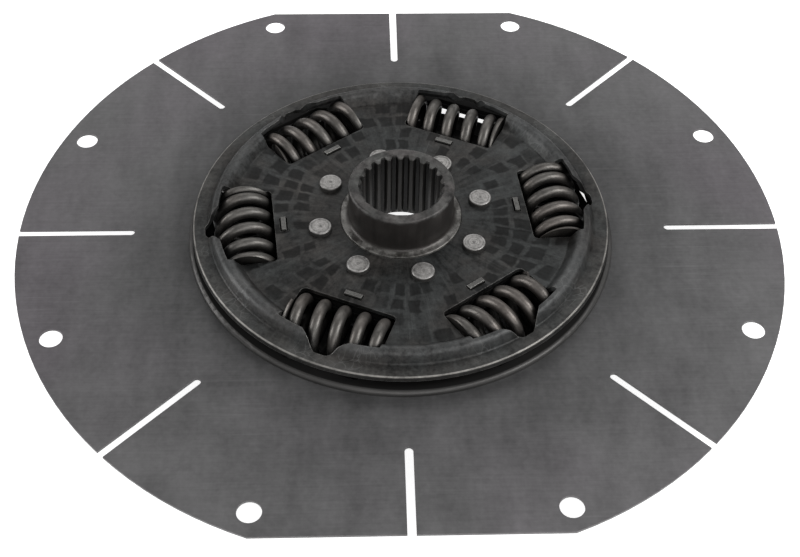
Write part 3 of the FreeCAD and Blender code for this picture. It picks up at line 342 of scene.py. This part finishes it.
def cover_steel(name="cover_steel", lower=False):
    """Pressed cover: dark phosphate coat with blurred darker squares and lighter lines left by
    stacking and handling, speckled and rubbed lighter along bead and rim; lighter edges partly burrs, partly
    painted highlight; near-black painted shade on the wall below the rim edge and in the tab slots; painted
    highlight on the rim corner."""
    t = Tree(name)
    x, y, z = t.xyz()
    r, a = t.radius(), t.angle()
    cloud = t.noise(20.0, 4.0, 0.62, seed=2.2)
    mottle = t.noise(95.0, 5.0, 0.7, seed=5.0)
    speck = t.noise(420.0, 3.0, 0.7, seed=7.0)
    tint = t.ramp(t.noise(30.0, 3.0, 0.6, seed=12.4), 0.36, 0.62)
    fine = t.noise(1300.0, 2.0, 0.5)
    wob_r = t.mul(t.add(t.noise(45.0, 3.0, 0.6, seed=1.5), -0.5), 0.013)
    wob_a = t.mul(t.add(t.noise(38.0, 3.0, 0.6, seed=9.5), -0.5), 0.18)
    # blurred squares standing in rings round the hub
    ring_r = t.mul(t.add(r, wob_r), 84.0)
    ring_a = t.mul(t.add(a, wob_a), 7.3)
    cell = t.cells(1.0, t.vec(ring_r, ring_a, 0.0), "CHEBYCHEV", "F1", 0.28)
    near = t.ramp(cell[0], 0.31, 0.43, 1.0, 0.0)
    pick = t.nt.nodes.new("ShaderNodeSeparateColor")
    t.nt.links.new(cell[1], pick.inputs[0])
    chosen = t.ramp(pick.outputs[0], 0.1, 0.6)
    flat_zone = t.mul(t.ramp(r, 0.05, 0.06), t.ramp(r, 0.098, 0.106, 1.0, 0.0))
    marks = t.mul(t.mul(near, chosen), flat_zone)
    streak = t.noise(1.0, 3.0, 0.6, vector=t.vec(t.mul(r, 22.0), t.mul(a, 26.0), 0.0), seed=4.4)
    lines = t.noise(1.0, 2.0, 0.6, vector=t.vec(t.mul(r, 14.0), t.mul(a, 60.0), 0.0), seed=6.9)
    around = t.noise(1.0, 3.0, 0.55, vector=t.vec(t.mul(r, 900.0), t.mul(a, 3.0), 0.0), seed=8.1)
    level = t.add(0.95, t.mul(t.add(cloud, -0.5), 2.0))
    level = t.add(level, t.mul(t.add(mottle, -0.5), 3.2))
    level = t.add(level, t.mul(t.add(speck, -0.5), 2.2))
    level = t.add(level, t.mul(t.add(streak, -0.5), 1.5))
    level = t.add(level, t.mul(t.mul(t.ramp(lines, 0.54, 0.72), flat_zone), 0.5))
    level = t.math("MAXIMUM", level, 0.3)
    level = t.mul(level, t.math("SUBTRACT", 1.14, t.mul(marks, 0.78)))
    base = t.mix(tint, (0.0268, 0.025, 0.0234), (0.0242, 0.0256, 0.0254))
    colour = t.mix(1.0, base, t.grey(level), "MULTIPLY")
    # rubbed crest, inner slope and rim
    crest = t.band(t.add(r, t.mul(t.add(mottle, -0.5), 0.004)), 0.1108, 0.0024, 0.0042)
    outer = t.ramp(r, 0.1155, 0.1245)
    worn = t.ramp(t.add(cloud, t.mul(t.add(mottle, speck), 0.55)), 0.8, 1.3)
    colour = t.mix(t.mul(t.mul(crest, t.add(0.12, t.mul(worn, 0.88))), 0.62), colour, (0.105, 0.107, 0.1075))
    colour = t.mix(t.mul(t.mul(outer, worn), 0.42), colour, (0.085, 0.084, 0.08))
    colour = t.mix(t.mul(t.mul(outer, around), 0.2), colour, (0.07, 0.069, 0.066))
    # fine crossing scratches where other parts lay on it
    web = t.cells(1.0, t.vec(t.mul(t.add(x, wob_r), 210.0), t.mul(t.add(y, wob_r), 210.0), 0.0), feature="DISTANCE_TO_EDGE")[0]
    web = t.mul(t.ramp(web, 0.0, 0.05, 1.0, 0.0), t.ramp(cloud, 0.5, 0.62))
    web = t.mul(web, t.ramp(r, 0.1, 0.108))
    colour = t.mix(t.mul(web, 0.5), colour, (0.13, 0.132, 0.13))
    # painted shade, near black, on the wall below the rim edge; painted highlight as a thin bright line on its
    # corner
    rim_wall_shade = t.mul(t.ramp(r, COVER_R - 0.0017, COVER_R - 0.0011), t.ramp(z, 0.0113, 0.0121, 1.0, 0.0))
    colour = t.mix(t.mul(rim_wall_shade, 0.5), colour, (0.014, 0.0135, 0.013))
    corner = t.mul(t.ramp(r, COVER_R - 0.0018, COVER_R - 0.0013), t.band(z, 0.01255, 0.00035, 0.0003))
    colour = t.mix(t.mul(corner, t.ramp(mottle, 0.35, 0.6, 0.35, 1.0)), colour, (0.25, 0.24, 0.225))
    # lighter edges: partly bare burrs, partly painted highlight
    edge = t.edge(0.0007)
    colour = t.mix(t.mul(edge, t.ramp(mottle, 0.36, 0.64, 0.2, 1.0)), colour, (0.23, 0.225, 0.215))
    # painted shade: the small slots of the tabs painted near black
    slot_shade = t.mul(t.band(r, 0.0715, 0.0032, 0.0006), t.ramp(z, 0.0122, 0.0128, 1.0, 0.0))
    colour = t.mix(t.mul(slot_shade, 0.95), colour, (0.004, 0.004, 0.004))
    # painted shade: the lower plate near black towards its upper, inner side, inside the damper
    if lower:
        colour = t.mix(t.ramp(z, -0.0165, -0.0125, 0.0, 0.85), colour, (0.004, 0.0038, 0.0036))
    rough = t.add(t.add(0.45, t.mul(t.add(mottle, -0.5), 0.4)), t.mul(marks, 0.08))
    height = t.add(t.add(t.mul(fine, 0.35), t.mul(mottle, 0.9)), t.add(t.mul(speck, 0.5), t.mul(marks, -0.15)))
    normal = t.bump(height, 0.45, 0.00016, t.rounded(0.0006))
    return t.done(colour, rough, 0.4, normal, 0.25)


def hub_steel(name="hub_steel"):
    """Turned hub: mottled end face, dark oiled barrel, fine turning rings, lighter collar, dark spline teeth with
    painted shade towards their roots, lighter edges partly painted highlight.
    """
    t = Tree(name)
    x, y, z = t.xyz()
    r, a = t.radius(), t.angle()
    cloud = t.noise(70.0, 4.0, 0.65, seed=1.9)
    blot = t.noise(190.0, 4.0, 0.7, seed=3.9)
    tint = t.noise(48.0, 2.0, 0.5, seed=6.3)
    fine = t.noise(900.0, 3.0, 0.55)
    turned = t.noise(1.0, 2.0, 0.5, vector=t.vec(t.mul(r, 2400.0), t.mul(a, 1.5), t.mul(z, 2400.0)))
    drip = t.noise(1.0, 3.0, 0.6, vector=t.vec(t.mul(a, 9.0), 0.0, t.mul(z, 26.0)), seed=2.6)
    wall = t.mix(1.0, (0.037, 0.0335, 0.0315), t.grey(t.add(t.add(0.1, t.mul(cloud, 0.9)), t.mul(drip, 0.9))), "MULTIPLY")
    top = t.ramp(t.add(z, t.mul(t.add(blot, -0.5), 0.002)), 0.0352, 0.0374)
    face = t.mix(t.ramp(tint, 0.38, 0.64), (0.053, 0.0535, 0.051), (0.061, 0.0565, 0.055))
    level = t.math("MAXIMUM", t.add(t.add(-2.6, t.mul(cloud, 3.6)), t.mul(blot, 3.9)), 0.25)
    face = t.mix(1.0, face, t.grey(level), "MULTIPLY")
    colour = t.mix(top, wall, face)
    # dark spline teeth, with painted shade deepening towards the tooth roots
    teeth = t.mul(t.ramp(r, 0.0262, 0.0267, 1.0, 0.0), t.ramp(z, 0.036, 0.0371, 1.0, 0.0))
    bore = t.mix(1.0, (0.0155, 0.0147, 0.0138), t.grey(t.mul(t.add(0.3, t.mul(cloud, 1.3)), t.ramp(r, 0.0241, 0.0254, 1.5, 0.12))), "MULTIPLY")
    colour = t.mix(t.mul(teeth, 0.93), colour, bore)
    collar = t.mul(t.ramp(r, 0.0321, 0.034), t.ramp(z, 0.021, 0.0165))
    rub = t.ramp(t.add(t.mul(cloud, 1.2), t.mul(blot, 0.8)), 0.84, 1.16)
    rim = t.mix(rub, (0.033, 0.031, 0.028), (0.2, 0.194, 0.184))
    colour = t.mix(t.mul(collar, 0.9), colour, rim)
    # lighter edges: partly bare burrs, partly painted highlight
    edge = t.edge(0.0006)
    colour = t.mix(t.mul(edge, t.ramp(blot, 0.36, 0.6, 0.05, 0.75)), colour, (0.21, 0.203, 0.195))
    rough = t.add(t.add(0.38, t.mul(t.add(cloud, -0.5), 0.3)), t.mul(top, 0.12))
    height = t.add(t.add(t.mul(turned, 0.5), t.mul(fine, 0.5)), t.mul(blot, 1.2))
    normal = t.bump(height, 0.45, 0.0001, t.rounded(0.0007))
    return t.done(colour, rough, 0.5, normal, 0.35)


def rivet_steel(name="rivet_steel", centre=(0.0, 0.0), shade=1.0):
    """Pressed rivet head: light grey, worn rings round its middle, painted highlight on the rolled edge, painted
    shade on its side.
    """
    t = Tree(name)
    x, y, z = t.xyz()
    dx, dy = t.math("SUBTRACT", x, centre[0]), t.math("SUBTRACT", y, centre[1])
    d = t.math("SQRT", t.add(t.mul(dx, dx), t.mul(dy, dy)))
    wob = t.noise(300.0, 3.0, 0.6)
    wd = t.add(d, t.mul(t.add(wob, -0.5), 0.0012))
    rings = t.noise(1.0, 2.0, 0.6, vector=t.vec(t.mul(wd, 1300.0), centre[0] * 90, centre[1] * 90))
    ripple = t.math("SINE", t.mul(wd, 5200.0))
    cloud = t.noise(240.0, 4.0, 0.68, seed=3.3)
    spots = t.noise(700.0, 3.0, 0.7, seed=8.3)
    fine = t.noise(1500.0, 2.0, 0.5)
    middle = t.ramp(wd, 0.0006, 0.0014, 1.0, 0.0)
    groove = t.band(wd, 0.0054, 0.0002, 0.0005)
    level = t.add(t.add(shade * 0.95, t.mul(t.add(cloud, -0.5), 1.8)), t.mul(t.add(rings, -0.5), 1.1))
    level = t.add(level, t.mul(t.add(spots, -0.5), 1.4))
    level = t.add(t.add(level, t.mul(ripple, 0.07)), t.add(t.mul(middle, -0.25), t.mul(groove, -0.28)))
    level = t.math("MAXIMUM", level, 0.2)
    colour = t.mix(1.0, (0.26, 0.252, 0.243), t.grey(level), "MULTIPLY")
    # painted highlight on the rolled edge
    rim_glint = t.band(d, 0.0061, 0.0002, 0.0005)
    colour = t.mix(t.mul(rim_glint, t.ramp(cloud, 0.4, 0.62, 0.05, 0.6)), colour, (0.42, 0.41, 0.4))
    # painted shade on the head's side
    side = t.ramp(d, 0.0066, 0.00695)
    colour = t.mix(t.mul(side, 0.8), colour, (0.04, 0.038, 0.036))
    rough = t.add(0.38, t.mul(t.add(cloud, -0.5), 0.3))
    height = t.add(t.add(t.mul(ripple, 0.3), rings), t.add(t.mul(fine, 0.35), spots))
    normal = t.bump(height, 0.5, 0.0001, t.rounded(0.0003))
    return t.done(colour, rough, 0.6, normal)


def spring_steel(name="spring_steel"):
    """Shot-peened spring wire with a thin brown oil coat; painted shade darkens the lower coils and the gaps
    between them.
    """
    t = Tree(name)
    cloud = t.noise(120.0, 4.0, 0.62, seed=2.7)
    big = t.noise(24.0, 3.0, 0.55, seed=9.2)
    peen = t.cells(1100.0)[0]
    spot = t.noise(520.0, 3.0, 0.7, seed=4.9)
    colour = t.mix(t.ramp(big, 0.38, 0.64), (0.134, 0.12, 0.11), (0.112, 0.107, 0.1))
    level = t.add(t.add(-0.15, t.mul(cloud, 1.4)), t.mul(spot, 0.9))
    level = t.math("MAXIMUM", level, 0.25)
    _, _, z = t.xyz()
    # painted shade: coils darker towards the bottom
    level = t.mul(level, t.ramp(t.add(z, t.mul(t.add(big, -0.5), 0.006)), 0.003, 0.0165, 0.16, 1.0))
    # painted shade where the coils and other parts stand close
    level = t.mul(level, t.occlusion_shade(0.014, 0.35, 0.92, 0.07))
    colour = t.mix(1.0, colour, t.grey(level), "MULTIPLY")
    rough = t.add(t.add(0.4, t.mul(t.add(cloud, -0.5), 0.3)), t.mul(t.add(spot, -0.5), 0.2))
    normal = t.bump(t.add(t.mul(peen, 0.8), t.add(cloud, t.mul(spot, 0.6))), 0.4, 0.00014)
    return t.done(colour, rough, 0.7, normal, 0.4)


def bright_steel(name="bright_steel"):
    """Cut and bent strip: light, with fine lines along the cut; lighter edges partly burrs, partly painted
    highlight; painted shade, near black, below the cover face.
    """
    t = Tree(name)
    cloud = t.noise(240.0, 4.0, 0.62, seed=1.1)
    lines = t.noise(1.0, 3.0, 0.6, vector=t.scaled((900.0, 900.0, 120.0)))
    level = t.add(t.add(0.75, t.mul(t.add(cloud, -0.5), 1.4)), t.mul(t.add(lines, -0.5), 0.9))
    level = t.math("MAXIMUM", level, 0.15)
    colour = t.mix(1.0, (0.115, 0.113, 0.107), t.grey(level), "MULTIPLY")
    # lighter edges: partly bare burrs, partly painted highlight
    colour = t.mix(t.mul(t.edge(0.0006), 0.85), colour, (0.42, 0.41, 0.39))
    _, _, z = t.xyz()
    # painted shade: near black below the cover face
    colour = t.mix(t.ramp(z, 0.0128, 0.0134, 1.0, 0.0), colour, (0.02, 0.0195, 0.019))
    normal = t.bump(t.add(lines, cloud), 0.45, 0.00012, t.rounded(0.0004))
    return t.done(colour, t.add(0.36, t.mul(t.add(cloud, -0.5), 0.2)), 0.6, normal)


def facing(name="friction_facing"):
    """Woven friction ring: matt brown-grey with flecks."""
    t = Tree(name)
    fleck = t.cells(900.0)[0]
    grain = t.noise(600.0, 4.0, 0.65)
    colour = t.mix(t.ramp(fleck, 0.1, 0.5), (0.24, 0.19, 0.11), (0.075, 0.062, 0.05))
    colour = t.mix(1.0, colour, t.grey(t.add(0.6, t.mul(grain, 0.8))), "MULTIPLY")
    return t.done(colour, t.add(0.72, t.mul(grain, 0.2)), 0.0, t.bump(t.add(grain, fleck), 0.5, 0.0001))


def bush(name="guide_bush"):
    """Moulded guide bush: dark filled plastic."""
    t = Tree(name)
    grain = t.noise(500.0, 4.0, 0.6)
    colour = t.mix(t.ramp(grain, 0.35, 0.65), (0.035, 0.034, 0.033), (0.06, 0.058, 0.055))
    return t.done(colour, t.add(0.42, t.mul(grain, 0.2)), 0.0, t.bump(grain, 0.3, 0.00008))


SHEET, DRIVE, COVER, HUB = sheet_steel(), drive_steel(), cover_steel(), hub_steel()
SPRING, BRIGHT, FACING, BUSH = spring_steel(), bright_steel(), facing(), bush()

wear(nodes["flex_plate"], SHEET)
for n in ("drive_disc_upper", "drive_disc_lower"):
    wear(nodes[n], DRIVE)
wear(nodes["side_plate_upper"], COVER)
wear(nodes["side_plate_lower"], cover_steel("lower_cover_steel", True))
wear(nodes["hub"], HUB)
for n in ("pressure_ring_upper", "pressure_ring_lower", "thrust_washer"):
    wear(nodes[n], BRIGHT)
for n in ("friction_ring_upper", "friction_ring_lower"):
    wear(nodes[n], FACING)
wear(nodes["guide_bush"], BUSH)
wear(nodes["disc_spring"], SPRING)
for n in sorted(nodes):
    if n.startswith("hub_rivet") or n.startswith("disc_rivet"):
        lo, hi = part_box(n)
        c = (lo + hi) / 2
        wear(nodes[n], rivet_steel("finish_" + n, (c.x, c.y)))

# ------------------------------------------------------------------ coil springs
WINDINGS = [
    (0.22, [-29.7, -20.1, -7.6, 5.6, 18.5, 27.2], 0.58),
    (0.29, [-29.2, -21.3, -8.9, 4.2, 16.8, 28.3], 0.38),
    (0.40, [-28.4, -14.5, -1.9, 10.9, 23.1], 0.98),
    (0.19, [-29.9, -22.3, -9.6, 3.2, 16.3, 27.9], 0.46),
    (0.02, [-31.2, -23.7, -11.2, 1.3, 13.8, 25.7], 0.80),
    (0.62, [-26.9, -14.4, -1.8, 10.9, 24.4], 0.90),
]
COIL_R, WIRE_R, HALF, TIP, CIRCLE = 15.9, 3.5, 29.5, 31.3, 94.65


def rise(knots, x):
    n = len(knots)
    d = [(knots[i + 1][1] - knots[i][1]) / (knots[i + 1][0] - knots[i][0]) for i in range(n - 1)]
    m = [d[0]] + [2 * d[i - 1] * d[i] / (d[i - 1] + d[i]) for i in range(1, n - 1)] + [d[-1]]
    i = 0
    while i < n - 2 and x > knots[i + 1][0]:
        i += 1
    (x0, y0), (x1, y1) = knots[i], knots[i + 1]
    w = x1 - x0
    q = (x - x0) / w
    return ((2 * q ** 3 - 3 * q ** 2 + 1) * y0 + (q ** 3 - 2 * q ** 2 + q) * w * m[i]
            + (3 * q ** 2 - 2 * q ** 3) * y1 + (q ** 3 - q ** 2) * w * m[i + 1])


def coil(index, winding):
    """Swept wire with both ends ground flat, in the place of the CAD spring."""
    before, crests, after = winding
    knots = [(-before, -TIP)] + [(float(i), c) for i, c in enumerate(crests)]
    knots.append((len(crests) - 1 + after, TIP))
    turns = len(crests) - 1 + before + after
    steps, sides = int(turns * 56), 40
    bm = bmesh.new()
    rings = []
    for i in range(steps + 1):
        t = -before + turns * i / steps
        e = 1e-3

        def at(q):
            q = min(max(q, -before), len(crests) - 1 + after)
            return Vector((COIL_R * math.sin(2 * math.pi * q), rise(knots, q), COIL_R * math.cos(2 * math.pi * q)))

        p = at(t)
        tangent = (at(t + e) - at(t - e)).normalized()
        out = Vector((math.sin(2 * math.pi * t), 0, math.cos(2 * math.pi * t)))
        side = tangent.cross(out).normalized()
        out = side.cross(tangent).normalized()
        ring = []
        for j in range(sides):
            b = 2 * math.pi * j / sides
            ring.append(bm.verts.new((p + (out * math.cos(b) + side * math.sin(b)) * WIRE_R) / 1000.0))
        rings.append(ring)
    for i in range(steps):
        for j in range(sides):
            k = (j + 1) % sides
            bm.faces.new((rings[i][j], rings[i][k], rings[i + 1][k], rings[i + 1][j]))
    bm.faces.new(list(reversed(rings[0])))
    bm.faces.new(rings[-1])
    bmesh.ops.recalc_face_normals(bm, faces=bm.faces[:])
    for sign in (-1, 1):
        geom = bm.verts[:] + bm.edges[:] + bm.faces[:]
        cut = bmesh.ops.bisect_plane(bm, geom=geom, dist=1e-7, plane_co=(0, sign * HALF / 1000.0, 0),
                                     plane_no=(0, sign, 0), clear_outer=True, clear_inner=False)
        border = [e for e in cut["geom_cut"] if isinstance(e, bmesh.types.BMEdge)]
        bmesh.ops.holes_fill(bm, edges=border, sides=0)
    bmesh.ops.triangulate(bm, faces=[f for f in bm.faces if len(f.verts) > 4])
    for f in bm.faces:
        f.smooth = True
    me = bpy.data.meshes.new("coil_spring_%d" % (index + 1))
    bm.to_mesh(me)
    bm.free()
    me.set_sharp_from_angle(angle=math.radians(38))
    ob = bpy.data.objects.new("coil_spring_%d" % (index + 1), me)
    scene.collection.objects.link(ob)
    a = math.radians(6.0 + 60.0 * index)
    place = Matrix.Translation((CIRCLE / 1000 * math.cos(a), CIRCLE / 1000 * math.sin(a), 0)) @ Matrix.Rotation(a, 4, "Z")
    me.transform(place)
    me.materials.append(SPRING)
    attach(ob, "spring_set")
    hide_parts("damper_spring_%d" % (index + 1))
    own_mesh(ob)
    return ob


coils = [coil(i, w) for i, w in enumerate(WINDINGS)]


# ------------------------------------------------------------------ floor and light
def floor():
    bm = bmesh.new()
    s = 6.0
    z = cad_lo.z - 0.0004
    vs = [bm.verts.new((x, y, z)) for x, y in ((-s, -s), (s, -s), (s, s), (-s, s))]
    bm.faces.new(vs)
    me = bpy.data.meshes.new("floor")
    bm.to_mesh(me)
    bm.free()
    ob = bpy.data.objects.new("floor", me)
    scene.collection.objects.link(ob)
    t = Tree("pale_floor")
    b = t.bsdf.inputs
    grain = t.noise(3.0, 2.0, 0.5)
    t.put(b["Base Color"], t.mix(grain, (0.82, 0.82, 0.82), (0.8, 0.8, 0.8)))
    b["Roughness"].default_value = 0.9
    b["Specular IOR Level"].default_value = 0.0
    b["Emission Color"].default_value = (1, 1, 1, 1)
    b["Emission Strength"].default_value = 0.86
    me.materials.append(t.mat)
    return ob


floor()


def softbox(name, direction, distance, size_x, size_y, power, colour=(1, 1, 1), target=(0, 0, 0)):
    light = bpy.data.lights.new(name, "AREA")
    light.shape = "RECTANGLE"
    light.size, light.size_y = size_x, size_y
    light.energy = power
    light.color = colour
    ob = bpy.data.objects.new(name, light)
    scene.collection.objects.link(ob)
    d = Vector(direction).normalized()
    ob.location = Vector(target) + d * distance
    ob.rotation_mode = "QUATERNION"
    ob.rotation_quaternion = (-d).to_track_quat("-Z", "Y")
    return ob


softbox("key_right", (0.66, -0.22, 0.72), 1.5, 0.75, 0.75, 13.0)
softbox("side_left", (-0.93, 0.12, 0.36), 1.5, 0.55, 1.1, 10.0)
softbox("back_top", (0.05, 0.75, 0.66), 1.7, 1.6, 0.7, 5.0)
softbox("front_fill", (0.1, -0.8, 0.6), 1.7, 1.4, 0.9, 9.0)

world = bpy.data.worlds.new("studio")
scene.world = world
world.use_nodes = True
wt = world.node_tree
wt.nodes.clear()
w_out = wt.nodes.new("ShaderNodeOutputWorld")
w_bg = wt.nodes.new("ShaderNodeBackground")
w_co = wt.nodes.new("ShaderNodeTexCoord")
w_sep = wt.nodes.new("ShaderNodeSeparateXYZ")
w_ramp = wt.nodes.new("ShaderNodeMapRange")
w_ramp.inputs["From Min"].default_value = -0.1
w_ramp.inputs["From Max"].default_value = 0.9
w_ramp.inputs["To Min"].default_value = 0.10
w_ramp.inputs["To Max"].default_value = 0.42
wt.links.new(w_co.outputs["Generated"], w_sep.inputs[0])
wt.links.new(w_sep.outputs[2], w_ramp.inputs["Value"])
wt.links.new(w_ramp.outputs["Result"], w_bg.inputs["Strength"])
w_bg.inputs["Color"].default_value = (1, 1, 1, 1)
wt.links.new(w_bg.outputs[0], w_out.inputs[0])

# ------------------------------------------------------------------ view layer update
bpy.context.view_layer.update()
